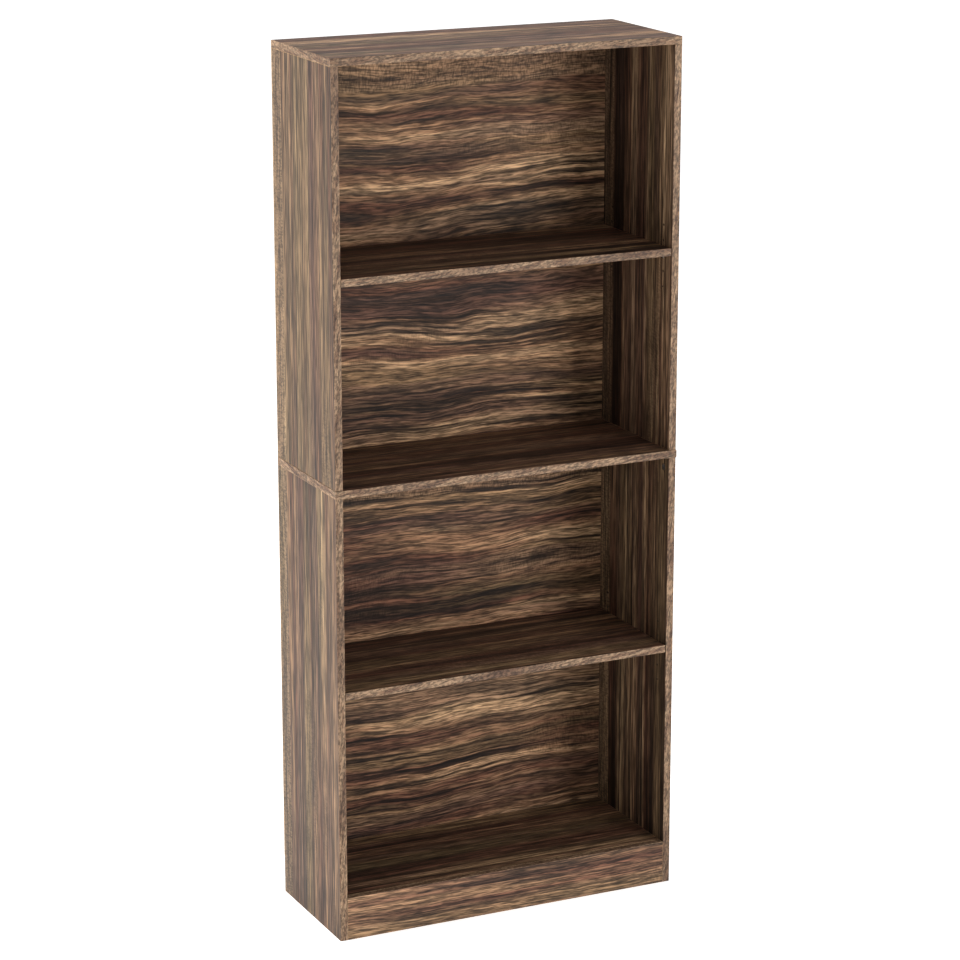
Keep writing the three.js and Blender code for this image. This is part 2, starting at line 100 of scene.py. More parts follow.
NAIL_PITCH = 130 * MM
NAIL_FROM_EDGE = 7.5 * MM
NAIL_FROM_SEAM = 4 * MM
NAIL_HEAD_RADIUS = 1.6 * MM
NAIL_HEAD_HEIGHT = 0.4 * MM
NAIL_SHANK_RADIUS = 0.7 * MM
NAIL_LENGTH = 16 * MM
NAIL_SHANK_SEGMENTS = 12
NAIL_HEAD_SEGMENTS = 24
NAIL_HEAD_RINGS = 12

CREASE_ANGLE = math.radians(40)  # sharper edges than this stay sharp when a piece is shaded smooth
FLAT_ANGLE = math.radians(0.3)  # faces that meet at less than this are joined into one
SAME_POINT = 0.002 * MM  # points closer together than this are one point
SQUARE_ON = 0.9999  # the least share of a flat face's normal that lies along an axis

CAMERA_PLACE = (-2.8095, -5.9103, 2.6719)
CAMERA_AZIMUTH = math.radians(25.467)  # how far it looks to the right of straight ahead
CAMERA_PITCH = math.radians(15.17)  # how far it looks down
CAMERA_LENS = 123.19  # millimetres
CAMERA_SENSOR = 36  # millimetres
CAMERA_REACH = 200  # metres, and nothing further away is drawn

FLOOR_SIZE = 60
FLOOR_DROP = 0.2 * MM  # below the bookcase
FLOOR_GREY = 0.9
FLOOR_ROUGHNESS = 0.9
FLOOR_GLOW = 0.6
ROOM_LIGHT = 0.64
SOFTBOXES = {  # place, width, height, and power in watts
    "front_light": ((2.5, -5.5, 1.2), 2.2, 1.8, 178),
    "left_light": ((-3.9, 1.0, 2.2), 1.6, 2.2, 150),
    "top_light": ((0, 0.9, 4.6), 2.0, 1.6, 48),
}


def srgb(red, green, blue):
    """A display colour, 0 to 255 a channel, as a linear colour."""

    def linear(channel):
        share = channel / 255
        return share / 12.92 if share <= 0.04045 else ((share + 0.055) / 1.055) ** 2.4

    return (linear(red), linear(green), linear(blue), 1.0)


# ---------------------------------------------------------------- shader nodes


SEED_STEP = (3.7, 1.9, 5.3)  # how far each seed moves a noise, along each axis


class Shader:
    """Short calls that add nodes to one material."""

    def __init__(self, name):
        self.material = bpy.data.materials.new(name)
        self.material.use_nodes = True
        self.tree = self.material.node_tree
        self.surface = self.tree.nodes["Principled BSDF"]

    def put(self, value, socket):
        """Links a socket's output to another socket, or sets a plain value on it."""
        if isinstance(value, bpy.types.NodeSocket):
            self.tree.links.new(value, socket)
        else:
            socket.default_value = value

    def add(self, kind, **settings):
        """Adds a node and sets its settings."""
        node = self.tree.nodes.new(kind)
        for key, value in settings.items():
            setattr(node, key, value)
        return node

    def math(self, operation, *values):
        """One operation on sockets or plain numbers."""
        node = self.add("ShaderNodeMath", operation=operation)
        for value, socket in zip(values, node.inputs):
            self.put(value, socket)
        return node.outputs[0]

    def swing(self, value, amount, middle=1.0):
        """A texture value of 0 to 1, turned into `middle` plus or minus up to half of `amount`."""
        return self.math("MULTIPLY_ADD", value, amount, middle - amount / 2)

    def fade(self, value, start, end):
        """0 before start and 1 after end, smooth in between."""
        node = self.add("ShaderNodeMapRange", interpolation_type="SMOOTHSTEP")
        self.put(value, node.inputs["Value"])
        self.put(start, node.inputs["From Min"])
        self.put(end, node.inputs["From Max"])
        return node.outputs["Result"]

    def tint(self, colour, share, other, strength):
        """The colour, mixed toward `other` by share times strength."""
        node = self.add("ShaderNodeMix", data_type="RGBA")  # its colours are inputs 6 and 7, and output 2
        self.put(self.math("MULTIPLY", share, strength), node.inputs["Factor"])
        self.put(colour, node.inputs[6])
        self.put(other, node.inputs[7])
        return node.outputs[2]

    def blend(self, share, first, second):
        """A plain number between `first` and `second`."""
        node = self.add("ShaderNodeMix", data_type="FLOAT")  # its numbers are inputs 2 and 3, and output 0
        self.put(share, node.inputs[0])
        self.put(first, node.inputs[2])
        self.put(second, node.inputs[3])
        return node.outputs[0]

    def scaled(self, colour, share):
        """The colour, made darker or brighter by a share that varies over the surface."""
        node = self.add("ShaderNodeVectorMath", operation="SCALE")
        self.put(colour, node.inputs[0])
        self.put(share, node.inputs["Scale"])
        return node.outputs[0]

    def toned(self, colour, tone):
        """The colour, with its red, green and blue scaled by the three numbers in `tone`."""
        node = self.add("ShaderNodeVectorMath", operation="MULTIPLY")
        self.put(colour, node.inputs[0])
        self.put(tone, node.inputs[1])
        return node.outputs[0]

    def ramp(self, value, stops):
        """A colour ramp over [(place, colour), ...]."""
        node = self.add("ShaderNodeValToRGB")
        self.put(value, node.inputs[0])
        elements = node.color_ramp.elements
        while len(elements) < len(stops):
            elements.new(0.5)
        for element, (place, colour) in zip(elements, stops):
            element.position = place
            element.color = colour
        return node.outputs[0]

    def noise(self, place, scale, seed, detail=2.0, roughness=0.5):
        """Noise with `scale` features a metre, one number or (along u, along v)."""
        mapping = self.add("ShaderNodeMapping")
        self.put(place, mapping.inputs["Vector"])
        mapping.inputs["Scale"].default_value = (*scale, 1.0) if isinstance(scale, tuple) else (scale,) * 3
        mapping.inputs["Location"].default_value = [seed * step for step in SEED_STEP]
        node = self.add("ShaderNodeTexNoise")
        self.put(mapping.outputs[0], node.inputs["Vector"])
        node.inputs["Scale"].default_value = 1.0
        node.inputs["Detail"].default_value = detail
        node.inputs["Roughness"].default_value = roughness
        return node.outputs["Fac"]

    def place(self, u, v):
        """A place on the printed sheet."""
        node = self.add("ShaderNodeCombineXYZ")
        self.put(u, node.inputs[0])
        self.put(v, node.inputs[1])
        return node.outputs[0]

    def object_place(self):
        return self.add("ShaderNodeTexCoord").outputs["Object"]

    def grain_place(self):
        """The place on the printed sheet, and its u and v."""
        grain = self.add("ShaderNodeUVMap", uv_map=GRAIN_MAP)
        parts = self.add("ShaderNodeSeparateXYZ")
        self.put(grain.outputs[0], parts.inputs[0])
        return grain.outputs[0], parts.outputs[0], parts.outputs[1]

    def finish(self, colour, roughness, height, depth):
        """Colours the surface. `height` is a relief of 0 to 1 that is `depth` metres deep."""
        self.put(colour, self.surface.inputs["Base Color"])
        self.put(roughness, self.surface.inputs["Roughness"])
        bump = self.add("ShaderNodeBump")
        bump.inputs["Distance"].default_value = depth
        self.put(height, bump.inputs["Height"])
        self.put(bump.outputs[0], self.surface.inputs["Normal"])
        return self.material


# ---------------------------------------------------------------- wood

GRAIN_MAP = "Grain"  # u runs along the grain and v across it, both in metres
SHEET_SPACING = 10.0  # how far apart along u the boards are cut from the printed sheet
FACE_PART = 0.25  # a board's two faces are cut this share of the spacing after and before its own place
EDGE_PART = 0.5  # and its edges this share after it

UMBER = srgb(30, 20, 15)
DARK_BROWN = srgb(54, 37, 28)
RED_BROWN = srgb(88, 57, 43)
BROWN = srgb(99, 71, 53)
TAN = srgb(127, 95, 70)
PALE_TAN = srgb(160, 127, 96)
OLIVE = srgb(112, 92, 64)
MAUVE = srgb(86, 62, 52)
BORDER_TAN = srgb(131, 104, 78)

WOOD_GLOSS = 0.2  # specular level of the printed foil
FOIL_RELIEF = 0.08 * MM
CHIPS_A_METRE = 420  # in chipboard


def laminate(name, seed, wave, streaks, tone, shift=0, border=0, figure=0, stripes=24, stretch=1.0,
             spread=1.0, gloss=WOOD_GLOSS):
    """Printed walnut.

    wave: how far the grain wanders. shift: how far its marks are moved across the board.
    streaks: how dark the near-black streaks are. stripes: how many broad bands of tone a metre has.
    border: the width of a paler strip along the board's first edge, full of short ticks across the grain.
    figure: how much of the rest has faint ticks too.
    stretch: lengthens every mark along the grain. spread: how far apart the tones lie.
    tone: scales the red, green and blue. On the inner, outer and level faces it also paints shade or sheen.

    The scales of the marks below are in features a metre.
    """
    shader = Shader(name)
    sheet, u, v = shader.grain_place()

    # the grain's course
    wander = shader.swing(shader.noise(sheet, (1.6, 3.4), seed), wave, 0)
    ripple = shader.swing(shader.noise(sheet, (7, 16), seed + 1), wave * 0.22, 0)
    bent = shader.math("ADD", v, shader.math("ADD", wander, shader.math("ADD", ripple, -shift)))
    flow = shader.place(u, bent)

    def marks(along, across, number, detail=2.0, roughness=0.5):
        return shader.noise(flow, (along / stretch, across), seed + number, detail, roughness)

    # broad tones
    tones = ((-0.14, DARK_BROWN), (-0.06, RED_BROWN), (0, BROWN), (0.07, TAN), (0.16, PALE_TAN))
    stops = [(0.5 + offset / spread, colour) for offset, colour in tones]
    colour = shader.ramp(marks(0.9, stripes, 2, detail=4, roughness=0.6), stops)
    olive = shader.fade(marks(0.8, 12, 3), 0.48, 0.62)
    colour = shader.tint(colour, olive, OLIVE, 0.45)
    mauve = shader.fade(marks(1.1, 24, 4), 0.5, 0.6)
    colour = shader.tint(colour, mauve, MAUVE, 0.5)

    # the strip along the first edge
    border_wander = shader.swing(shader.noise(sheet, (9, 9), seed + 12), wave * 0.35, 0)
    border_blur = 2 * MM + wave * 0.12
    in_border = shader.fade(shader.math("ADD", v, border_wander), border, border - border_blur)
    colour = shader.tint(colour, in_border, BORDER_TAN, 0.5)

    # near-black streaks, in clusters
    cluster = shader.fade(marks(1.0, 8, 5), 0.42, 0.56)
    streak = shader.fade(marks(1.7, 62, 6, detail=4, roughness=0.6), 0.485, 0.59)
    colour = shader.tint(colour, shader.math("MULTIPLY", streak, cluster), UMBER, streaks)

    # fine marks along the grain
    lines = shader.fade(marks(6, 150, 7, detail=3, roughness=0.7), 0.36, 0.62)
    pores = shader.fade(marks(20, 260, 9), 0.54, 0.66)
    hairs = shader.fade(marks(3.2, 190, 13), 0.57, 0.64)
    dark_marks = shader.math("MULTIPLY_ADD", shader.math("MAXIMUM", pores, hairs), -0.5, 1.0)
    along_grain = shader.math("MULTIPLY", shader.swing(lines, 0.9), dark_marks)

    # short ticks across it
    lean = shader.swing(shader.noise(sheet, (1.3, 0.5), seed + 14), 1.8, 0)
    slanting = shader.place(shader.math("MULTIPLY_ADD", v, lean, u), bent)
    ticks = shader.fade(shader.noise(slanting, (260, 105), seed + 10), 0.32, 0.66)
    across_grain = shader.swing(ticks, 0.8, 0.86)
    patch = shader.fade(shader.noise(sheet, (1.5, 9), seed + 11), 0.6 - figure, 0.7 - figure)
    tick_area = shader.math("MAXIMUM", shader.math("MULTIPLY", patch, 0.5),
                            shader.math("MULTIPLY", in_border, 0.8))

    fibres = shader.fade(marks(28, 330, 8, roughness=0.6), 0.36, 0.64)
    shade = shader.math("MULTIPLY", shader.blend(tick_area, along_grain, across_grain),
                        shader.swing(fibres, 1.1))
    shader.surface.inputs["Specular IOR Level"].default_value = gloss
    colour = shader.toned(shader.scaled(colour, shade), tone)
    return shader.finish(colour, shader.swing(lines, 0.08, 0.56), shade, FOIL_RELIEF)


def edge_band(name, seed, tone):
    """The printed band on a board's edge: even in tone, with small slanting flecks."""
    shader = Shader(name)
    sheet, u, v = shader.grain_place()
    wander = shader.swing(shader.noise(sheet, (9, 30), seed), 6 * MM, 0)
    slant = shader.place(u, shader.math("ADD", shader.math("MULTIPLY_ADD", u, 0.12, v), wander))

    broad = shader.noise(slant, (14, 120), seed + 1, detail=3, roughness=0.6)
    colour = shader.ramp(broad, [(0.32, BROWN), (0.44, TAN), (0.55, PALE_TAN), (0.68, TAN)])
    patch = shader.fade(shader.noise(sheet, (4, 20), seed + 2), 0.48, 0.62)
    colour = shader.tint(colour, patch, BROWN, 0.6)
    streak = shader.fade(shader.noise(slant, (24, 240), seed + 3), 0.52, 0.66)
    colour = shader.tint(colour, streak, DARK_BROWN, 0.5)
    flecks = shader.fade(shader.noise(slant, (150, 330), seed + 4), 0.36, 0.64)
    shade = shader.swing(flecks, 0.9)
    shader.surface.inputs["Specular IOR Level"].default_value = WOOD_GLOSS
    colour = shader.toned(shader.scaled(colour, shade), tone)
    return shader.finish(colour, shader.swing(flecks, 0.08, 0.55), shade, FOIL_RELIEF)


def chipboard(name, brightness):
    """Raw chipboard, on the edges that carry no band, and inside the bores, where it is darkened to a
    painted shade.
    """
    shader = Shader(name)
    place = shader.object_place()
    chips = shader.add("ShaderNodeTexVoronoi")
    chips.inputs["Scale"].default_value = CHIPS_A_METRE
    shader.put(place, chips.inputs["Vector"])
    chip = shader.add("ShaderNodeSeparateColor")
    shader.put(chips.outputs["Color"], chip.inputs[0])
    tones = [(0.0, srgb(120, 90, 62)), (0.5, srgb(165, 133, 96)), (1.0, srgb(196, 166, 124))]
    colour = shader.ramp(chip.outputs[0], tones)
    # a cloud of dust over the chips, scaled by the brightness; the bores' low brightness is a painted shade
    dust_and_shade = shader.swing(shader.noise(place, 900, 3), 0.5 * brightness, brightness)
    return shader.finish(shader.scaled(colour, dust_and_shade), 0.9, chip.outputs[0], 0.3 * MM)


def hardboard():
    """The plain rear of a back panel."""
    shader = Shader("hardboard")
    place = shader.object_place()
    cloud = shader.noise(place, 30, 1, detail=5, roughness=0.6)
    colour = shader.ramp(cloud, [(0.3, srgb(98, 72, 51)), (0.7, srgb(110, 83, 60))])
    fibres = shader.noise(place, 420, 2, detail=4, roughness=0.7)
    colour = shader.scaled(colour, shader.swing(fibres, 1.0))
    return shader.finish(colour, shader.swing(cloud, 0.1, 0.72), fibres, 0.12 * MM)


def beech():
    """Fluted beech, for the dowels."""
    shader = Shader("beech")
    grain = shader.noise(shader.object_place(), 260, 5, detail=4)
    colour = shader.ramp(grain, [(0.3, srgb(176, 138, 98)), (0.7, srgb(214, 182, 140))])
    return shader.finish(colour, shader.swing(grain, 0.1, 0.62), grain, 0.1 * MM)


# ---------------------------------------------------------------- metal


def metal(name, dark, light, roughness, texture_size, relief):
    """Bare or plated metal with a fine cloud of wear."""
    shader = Shader(name)
    cloud = shader.noise(shader.object_place(), 1 / texture_size, 4, detail=4, roughness=0.6)
    shader.surface.inputs["Metallic"].default_value = 1.0
    colour = shader.ramp(cloud, [(0.3, dark), (0.7, light)])
    return shader.finish(colour, shader.swing(cloud, 0.2, roughness), cloud, relief)


# ---------------------------------------------------------------- mesh helpers


def new_piece(name, mesh, materials=()):
    piece = bpy.data.objects.new(name, mesh)
    bpy.context.scene.collection.objects.link(piece)
    for material in materials:
        mesh.materials.append(material)
    return piece


def mesh_from(bm, name):
    mesh = bpy.data.meshes.new(name)
    bm.to_mesh(mesh)
    bm.free()
    return mesh


def add_box(bm, corner, opposite):
    """Adds a box between any two opposite corners."""
    low = Vector(map(min, corner, opposite))
    high = Vector(map(max, corner, opposite))
    matrix = Matrix.Translation((low + high) / 2) @ Matrix.Diagonal((*(high - low), 1))
    bmesh.ops.create_cube(bm, size=1, matrix=matrix)


def box_mesh(corner, opposite):
    bm = bmesh.new()
    add_box(bm, corner, opposite)
    return mesh_from(bm, "box")


def add_rod(bm, start, end, radius, segments=ROUND_SEGMENTS):
    """Adds a round rod between two points, with flat ends."""
    start, end = Vector(start), Vector(end)
    turn = (end - start).to_track_quat("Z", "Y").to_matrix().to_4x4()
    matrix = Matrix.Translation((start + end) / 2) @ turn
    bmesh.ops.create_cone(bm, cap_ends=True, segments=segments, radius1=radius, radius2=radius,
                          depth=(end - start).length, matrix=matrix)


def rod_mesh(start, end, radius, segments=ROUND_SEGMENTS):
    bm = bmesh.new()
    add_rod(bm, start, end, radius, segments)
    return mesh_from(bm, "rod")


def apply_modifiers(piece):
    """Replaces the piece's mesh by the one its modifiers make."""
    depsgraph = bpy.context.evaluated_depsgraph_get()
    mesh = bpy.data.meshes.new_from_object(piece.evaluated_get(depsgraph))
    piece.modifiers.clear()
    piece.data = mesh


def combine(piece, operation, other_mesh):
    """Applies one boolean with another mesh to the piece."""
    other = new_piece("other", other_mesh)
    modifier = piece.modifiers.new("combine", "BOOLEAN")
    modifier.operation = operation
    modifier.solver = "EXACT"
    modifier.object = other
    apply_modifiers(piece)
    bpy.data.objects.remove(other)


def soften(piece, width):
    """Rounds the piece's sharp edges, and shades it smooth."""
    modifier = piece.modifiers.new("soften", "BEVEL")
    modifier.width = width
    modifier.segments = FITTING_ROUNDING_SEGMENTS
    modifier.limit_method = "ANGLE"
    modifier.angle_limit = FITTING_EDGE_ANGLE
    apply_modifiers(piece)
    shade_smooth(piece)


def shade_smooth(piece):
    piece.data.shade_smooth()
    piece.data.set_sharp_from_angle(angle=CREASE_ANGLE)


def clean_up(piece):
    """Joins the flat faces that a boolean leaves split, and drops doubled points."""
    bm = bmesh.new()
    bm.from_mesh(piece.data)
    bmesh.ops.remove_doubles(bm, verts=bm.verts, dist=SAME_POINT)
    bmesh.ops.dissolve_limit(bm, angle_limit=FLAT_ANGLE, verts=bm.verts, edges=bm.edges)
    bm.to_mesh(piece.data)
    bm.free()


def settle(piece, node, body):
    """Makes the piece stand for its CAD node, on the node's body."""
    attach(piece, body)
    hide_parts(node)


def named(beginning):
    return [name for name in sorted(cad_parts) if name.startswith(beginning)]


PIN_NODES = [name for name in sorted(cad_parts) if name.endswith("_pin")]
CAM_NODES = named("cam_")
BOLT_NODES = named("bolt_")
DOWEL_NODES = named("dowel_")

# ---------------------------------------------------------------- bores


def thin_axis(size):
    return min((X, Y, Z), key=lambda axis: size[axis])


def long_axis(size):
    return max((X, Y, Z), key=lambda axis: abs(size[axis]))


def bore_for(node, radius):
    """The bore of a bolt or dowel: (start, end, radius) of a rod round it, a little longer than it is."""
    low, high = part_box(node)
    axis = long_axis(high - low)
    middle = (low + high) / 2
    reach = AXES[axis] * ((high - low)[axis] / 2 + BORE_OVERRUN)
    return middle - reach, middle + reach, radius


def cam_place(node):
    """A cam lock's inner end, its face, the way it looks, and its radius.

    A cam in a level board looks down, and a cam in a side looks into the bookcase.
    """
    low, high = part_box(node)
    size = high - low
    middle = (low + high) / 2
    axis = thin_axis(size)
    sign = -1 if axis == Z or middle.x > 0 else 1
    outlook = AXES[axis] * sign
    half = outlook * size[axis] / 2
    return middle - half, middle + half, outlook, max(size) / 2


def cam_pocket(node):
    inner_end, face, outlook, radius = cam_place(node)
    start = inner_end - outlook * CAM_POCKET_SPARE_DEPTH
    return start, face + outlook * BORE_OVERRUN, radius + CAM_POCKET_CLEARANCE


def pin_holes(node):
    """The row of holes round the one that a shelf pin is in."""
    low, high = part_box(node)
    middle = (low + high) / 2
    outward = math.copysign(1, middle.x)
    deep_x = (high.x if outward > 0 else low.x) + outward * PIN_HOLE_SPARE_DEPTH
    holes = []
    for step in range(-PIN_HOLES_EACH_WAY, PIN_HOLES_EACH_WAY + 1):
        z = middle.z + step * PIN_HOLE_PITCH
        holes.append((Vector((deep_x, middle.y, z)), Vector((middle.x, middle.y, z)), PIN_HOLE_RADIUS))
    return holes


POCKETS = [cam_pocket(name) for name in CAM_NODES]
POCKETS += [bore_for(name, DOWEL_BORE_RADIUS) for name in DOWEL_NODES]
POCKETS += [hole for name in PIN_NODES for hole in pin_holes(name)]
BOLT_BORES = [bore_for(name, BOLT_BORE_RADIUS) for name in BOLT_NODES]


def reaches(start, end, radius, box):
    """Whether a rod along X, Y or Z gets into the box."""
    axis = long_axis(end - start)
    return all(
        min(start[a], end[a]) - (0 if a == axis else radius) < box[1][a]
        and max(start[a], end[a]) + (0 if a == axis else radius) > box[0][a]
        for a in (X, Y, Z))


def drill(piece, box, bores):
    """Cuts every bore that reaches into the board's box."""
    cutters = bmesh.new()
    for start, end, radius in bores:
        if reaches(start, end, radius, box):
            add_rod(cutters, start, end, radius)
    if cutters.verts:
        combine(piece, "DIFFERENCE", mesh_from(cutters, "bores"))
    else:
        cutters.free()


# ---------------------------------------------------------------- boards

FACE, OTHER_FACE, BAND, RAW, BORE = range(5)  # a board's material slots
FRONT, REAR, LEFT, RIGHT, UP = (Y, -1), (Y, 1), (X, -1), (X, 1), (Z, 1)  # its edges


def board_mesh(low, high):
    bm = bmesh.new()
    add_box(bm, low, high)
    bmesh.ops.bevel(bm, geom=bm.edges[:], offset=EDGE_ROUNDING, segments=EDGE_SEGMENTS,
                    profile=0.5, affect="EDGES")
    return mesh_from(bm, "board")


def outer_sides(point, low, high):
    """The sides of the box that the point is near, as (axis, -1 or 1)."""
    near_low = [(axis, -1) for axis in (X, Y, Z) if abs(point[axis] - low[axis]) < EDGE_ROUNDING]
    near_high = [(axis, 1) for axis in (X, Y, Z) if abs(point[axis] - high[axis]) < EDGE_ROUNDING]
    return sorted(near_low + near_high)


def finish_faces(piece, box, grain, banded, stretch):
    """Gives each face of a board its material and its place on the printed sheet.

    `grain` is the axis that the grain runs along, `banded` the sides whose edges carry a band, and
    `stretch` the number of the board's own stretch of the sheet.
    """
    low, high = box
    thin = thin_axis(high - low)
    across = ({X, Y, Z} - {thin, grain}).pop()
    mesh = piece.data
    grain_map = mesh.uv_layers.new(name=GRAIN_MAP)
    for face in mesh.polygons:
        sides = outer_sides(face.center, low, high)
        edges = [side for side in sides if side[0] != thin]
        facing = long_axis(face.normal)
        flat = abs(face.normal[facing]) > SQUARE_ON and facing in [axis for axis, _ in sides]
        rounded = not flat and len(sides) > 1
        along, beside, part = grain, thin, EDGE_PART
        if flat and facing == thin:
            face.material_index = FACE if face.normal[facing] > 0 else OTHER_FACE
            beside = across
            part = FACE_PART if face.material_index == FACE else -FACE_PART
        elif flat or rounded:
            face.material_index = BAND if edges[0] in banded else RAW
            if grain in [axis for axis, _ in edges]:
                along = across
        else:
            face.material_index = BORE
        face.use_smooth = not flat
        for loop in face.loop_indices:
            point = mesh.vertices[mesh.loops[loop].vertex_index].co
            u = (stretch + part) * SHEET_SPACING + point[along] - low[along]
            v = high[beside] - point[beside]
            grain_map.data[loop].uv = (u, v)


def make_board(node, body, grain, banded, faces, stretch, drilled=True):
    """Builds one board. `faces` are the materials of the face toward +X, +Y or +Z, and of the other."""
    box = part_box(node)
    piece = new_piece(f"{node}_board", board_mesh(*box))
    if drilled:
        drill(piece, box, POCKETS)
        drill(piece, box, BOLT_BORES)
        clean_up(piece)
    for material in (*faces, "band", "chipboard", "bore"):
        piece.data.materials.append(MATERIALS[material])
    finish_faces(piece, box, grain, banded, stretch)
    settle(piece, node, body)


def make_boards():
    """Every board: node, body, grain axis, banded edges and the materials of its two faces."""
    around = (FRONT, REAR, LEFT, RIGHT)
    level = ("level", "level")
    boards = [
        ("top_panel", CARCASS, X, (FRONT, LEFT, RIGHT), level),
        ("left_upper_side", CARCASS, Z, (FRONT,), ("inner", "outer")),
        ("left_lower_side", CARCASS, Z, (FRONT,), ("inner", "outer")),
        ("right_upper_side", CARCASS, Z, (FRONT,), ("outer", "inner")),
        ("right_lower_side", CARCASS, Z, (FRONT,), ("outer", "inner")),
        ("middle_shelf", CARCASS, X, (FRONT, LEFT, RIGHT), level),
        ("bottom_shelf", CARCASS, X, (), level),
        ("kick_board", CARCASS, X, (UP,), ("kick", "kick")),
        ("upper_adjustable_shelf", "upper_shelf", X, around, level),
        ("lower_adjustable_shelf", "lower_shelf", X, around, level),
    ]
    for stretch, (node, body, grain, banded, faces) in enumerate(boards):
        make_board(node, body, grain, banded, faces, stretch)
    for stretch, node in enumerate(("upper_back_panel", "lower_back_panel"), start=len(boards)):
        make_board(node, CARCASS, X, (), ("hardboard", "wide"), stretch, drilled=False)


# ---------------------------------------------------------------- shelf pins


def gusset_mesh(wall_x, inward, low, high):
    """The web that stiffens a pin: a thin triangle between its plate and the underside of its tongue."""
    overlap = PIN_SHEET / 2
    near_x, far_x = wall_x + inward * overlap, wall_x + inward * (PIN_SHEET + PIN_GUSSET_REACH)
    outline = [
        (near_x, low.z + PIN_SHEET),
        (near_x, high.z - overlap),
        (far_x, high.z - overlap),
        (far_x, high.z - PIN_SHEET),
    ]
    bm = bmesh.new()
    y = (low.y + high.y - PIN_SHEET) / 2
    side = bm.faces.new([bm.verts.new((x, y, z)) for x, z in outline])
    grown = bmesh.ops.extrude_face_region(bm, geom=[side])["geom"]
    moved = [item for item in grown if isinstance(item, bmesh.types.BMVert)]
    bmesh.ops.translate(bm, verts=moved, vec=(0, PIN_SHEET, 0))
    bmesh.ops.recalc_face_normals(bm, faces=bm.faces[:])
    return mesh_from(bm, "gusset")


def make_pin(node):
    """A nickel-plated shelf pin: a round stub, a plate against the wall, and a tongue on a gusset."""
    low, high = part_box(node)
    middle = (low + high) / 2
    inward = -math.copysign(1, middle.x)
    stub_x, tip_x = (low.x, high.x) if inward > 0 else (high.x, low.x)
    wall_x = stub_x + inward * PIN_STUB_LENGTH
    plate = box_mesh((wall_x, low.y, low.z), (wall_x + inward * PIN_SHEET, high.y, high.z))
    tongue = box_mesh((wall_x, low.y, high.z - PIN_SHEET), (tip_x, high.y, high.z))
    stub = rod_mesh((stub_x, middle.y, middle.z), (wall_x + inward * PIN_SHEET / 2, middle.y, middle.z),
                    PIN_STUB_RADIUS)
    piece = new_piece(f"{node}_metal", plate)
    for part in (tongue, gusset_mesh(wall_x, inward, low, high), stub):
        combine(piece, "UNION", part)
    clean_up(piece)
    soften(piece, PIN_ROUNDING)
    piece.data.materials.append(MATERIALS["nickel"])
    settle(piece, node, node)


# ---------------------------------------------------------------- cam locks


def cam_mesh(radius, height):
    """A cam lock with its face at z = 0, looking along +Z: a drum with a cross recess."""
    piece = new_piece("cam", rod_mesh((0, 0, -height), (0, 0, 0), radius, CAM_SEGMENTS))
    long, wide = CAM_CROSS_LENGTH / 2, CAM_CROSS_WIDTH / 2
    for x, y in ((long, wide), (wide, long)):
        combine(piece, "DIFFERENCE", box_mesh((-x, -y, -CAM_CROSS_DEPTH), (x, y, BORE_OVERRUN)))
    soften(piece, CAM_ROUNDING)
    mesh = piece.data
    bpy.data.objects.remove(piece)
    return mesh


def make_cams():
    """One cam lock for each CAD cam, its face just below the surface that it looks out of."""
    inner_end, face, _, radius = cam_place(CAM_NODES[0])
    shared = cam_mesh(radius, (face - inner_end).length)
    for node in CAM_NODES:
        _, face, outlook, _ = cam_place(node)
        mesh = shared.copy()
        turn = outlook.to_track_quat("Z", "Y").to_matrix().to_4x4()
        mesh.transform(Matrix.Translation(face) @ turn)
        settle(new_piece(f"{node}_metal", mesh, [MATERIALS["zinc"]]), node, CARCASS)


# ---------------------------------------------------------------- nails


def evenly(start, end, pitch):
    """Places from start to end, both included, no further apart than the pitch."""
    steps = math.ceil((end - start) / pitch)
    return [start + (end - start) * step / steps for step in range(steps + 1)]


def nail_places(low, high, seam_z, edge_z):
    """Where the nails go round one back panel: down both sides, and along its outer edge and the seam."""
    left, right = low.x + NAIL_FROM_EDGE, high.x - NAIL_FROM_EDGE
    bottom, top = sorted((seam_z, edge_z))
    places = [(x, z) for x in (left, right) for z in evenly(bottom, top, NAIL_PITCH)]
    inner = evenly(left, right, NAIL_PITCH)[1:-1]
    return places + [(x, z) for z in (bottom, top) for x in inner]


def add_nail(bm, x, y, z):
    """A nail driven along -Y, with a low domed head standing on the panel."""
    shank_end = (x, y + NAIL_HEAD_HEIGHT / 4, z)  # inside the head
    add_rod(bm, shank_end, (x, y - NAIL_LENGTH, z), NAIL_SHANK_RADIUS, NAIL_SHANK_SEGMENTS)
    ball = bmesh.ops.create_uvsphere(bm, u_segments=NAIL_HEAD_SEGMENTS, v_segments=NAIL_HEAD_RINGS, radius=1)
    shape = Matrix.Diagonal((NAIL_HEAD_RADIUS, NAIL_HEAD_HEIGHT, NAIL_HEAD_RADIUS, 1))
    bmesh.ops.transform(bm, matrix=Matrix.Translation((x, y, z)) @ shape, verts=ball["verts"])


def make_nails():
    """Each back panel is nailed to the middle shelf, to the sides and to its own end board."""

    def centre_z(node):
        low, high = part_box(node)
        return (low.z + high.z) / 2

    seam_z = centre_z("middle_shelf")
    panels = [
        ("upper_back", centre_z("top_panel"), seam_z + NAIL_FROM_SEAM),
        ("lower_back", centre_z("bottom_shelf"), seam_z - NAIL_FROM_SEAM),
    ]
    for panel, edge_z, panel_seam_z in panels:
        low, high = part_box(f"{panel}_panel")
        bm = bmesh.new()
        for x, z in nail_places(low, high, panel_seam_z, edge_z):
            add_nail(bm, x, high.y, z)
        piece = new_piece(f"{panel}_nails", mesh_from(bm, "nails"), [MATERIALS["steel"]])
        shade_smooth(piece)
        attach(piece, CARCASS)


# ---------------------------------------------------------------- hidden fasteners


def finish_fasteners():
    """The bolts and dowels keep their CAD shapes."""
    for nodes, material in ((BOLT_NODES, "steel"), (DOWEL_NODES, "beech")):
        for node in nodes:
            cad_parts[node].data.materials[0] = MATERIALS[material]


# ---------------------------------------------------------------- studio


